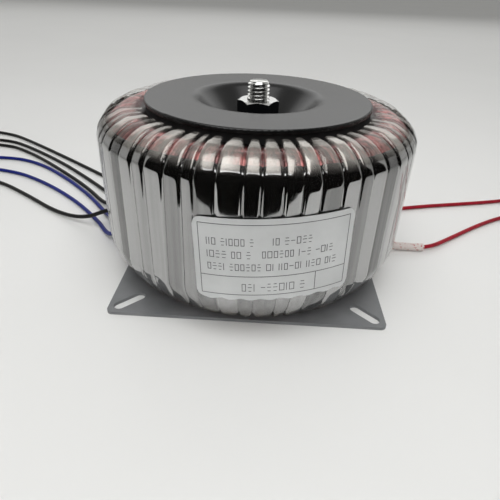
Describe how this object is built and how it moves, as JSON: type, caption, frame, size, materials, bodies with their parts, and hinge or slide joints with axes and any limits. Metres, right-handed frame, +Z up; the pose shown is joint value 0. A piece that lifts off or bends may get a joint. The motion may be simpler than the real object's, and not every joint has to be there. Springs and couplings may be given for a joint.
{
  "type": "toroidal transformer",
  "caption": "Toroidal mains transformer with gathered clear film over its winding, a dished washer bolted on top, a square slotted fixing plate and free leads.",
  "frame": {"origin": "underside of the fixing plate, on the axis of the ring", "axes": "+Z up along the axis of the ring and bolt; +X and +Y pass through two neighbouring slotted corners of the plate; the label faces between +X and -Y"},
  "size_m": [0.3069, 0.2409, 0.0693],
  "materials": {
    "plate_steel": "satin dark grey sheet steel",
    "rubber": "matte black sheet rubber",
    "core_steel": "wound electrical steel strip",
    "insulation": "polyester film tape",
    "copper_wire": "enamelled copper wire",
    "band": "grey metallised tape, semi-gloss",
    "clear_film": "clear polyester film, glossy",
    "label": "silver-grey sticker",
    "black_paint": "semi-gloss black paint",
    "zinc_steel": "bright zinc plating",
    "glass_braid": "white braided glass sleeve",
    "black_insulation": "black insulation",
    "blue_insulation": "blue insulation",
    "red_insulation": "red insulation",
    "tinned_wire": "tinned copper strands"
  },
  "bodies": {
    "root": {"mounting_plate": "plate_steel", "lower_pad": "rubber", "steel_core": "core_steel", "core_insulation": "insulation", "primary_winding": "copper_wire", "primary_insulation": "insulation", "low_secondary_winding": "copper_wire", "low_secondary_insulation": "insulation", "main_secondary_winding": "copper_wire", "shield_band": "band", "outer_wrap": "clear_film", "label": "label", "upper_pad": "rubber", "dished_washer": "black_paint", "flat_washer": "zinc_steel", "spring_washer": "zinc_steel", "nut": "zinc_steel", "centre_bolt": "zinc_steel", "red_lead_sleeve": "glass_braid", "black_lead_1": "black_insulation", "black_lead_1_end": "tinned_wire", "black_lead_2": "black_insulation", "black_lead_2_end": "tinned_wire", "black_lead_3": "black_insulation", "black_lead_3_end": "tinned_wire", "black_lead_4": "black_insulation", "black_lead_4_end": "tinned_wire", "blue_lead_1": "blue_insulation", "blue_lead_1_end": "tinned_wire", "blue_lead_2": "blue_insulation", "blue_lead_2_end": "tinned_wire", "red_lead_1": "red_insulation", "red_lead_1_end": "tinned_wire", "red_lead_2": "red_insulation", "red_lead_2_end": "tinned_wire"}
  },
  "joints": []
}
